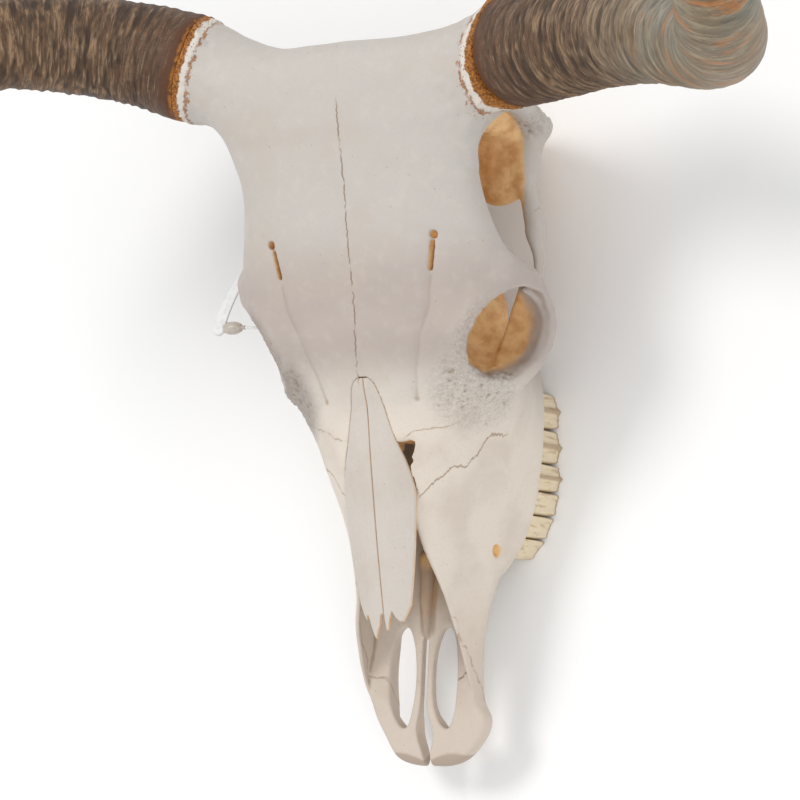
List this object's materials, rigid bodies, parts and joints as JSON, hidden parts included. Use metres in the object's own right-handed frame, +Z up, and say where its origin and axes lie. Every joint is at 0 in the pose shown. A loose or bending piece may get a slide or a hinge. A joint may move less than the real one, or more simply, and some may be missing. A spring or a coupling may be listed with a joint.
{
  "type": "longhorn skull",
  "caption": "Life-size cattle skull with long curved horns, resting face up on its cheek teeth, with a plain plastic loop seal behind one eye.",
  "frame": {"origin": "on the floor, under the middle of the skull's bounding box", "axes": "+Z up from the floor, out of the forehead; +Y from the nose to the poll; +X to the animal's left"},
  "size_m": [1.0194, 0.7289, 0.5587],
  "materials": {
    "forehead_bone": "dry cleaned bone, off-white with a faint lilac grey, finely pitted",
    "inner_bone": "dry bone stained tan in the hollows",
    "face_bone": "dry cleaned bone, warm cream",
    "nose_tip_bone": "dry cleaned bone, pinkish cream",
    "horn": "weathered horn, ringed and streaked, brown to grey green",
    "seal_plastic": "smooth moulded white plastic",
    "seal_barrel": "smooth moulded grey plastic"
  },
  "bodies": {
    "root": {"frontal_bone": "forehead_bone", "braincase": "inner_bone", "occipital_bone": "forehead_bone", "temporal_left": "forehead_bone", "temporal_right": "forehead_bone", "zygomatic_left": "forehead_bone", "zygomatic_right": "forehead_bone", "maxilla_left": "face_bone", "maxilla_right": "face_bone", "premaxilla_left": "nose_tip_bone", "premaxilla_right": "nose_tip_bone", "nasal_left": "face_bone", "nasal_right": "face_bone", "horn_left": "horn", "horn_right": "horn", "seal_bow": "seal_plastic", "seal_barrel": "seal_barrel", "seal_tail": "seal_plastic"}
  },
  "joints": []
}
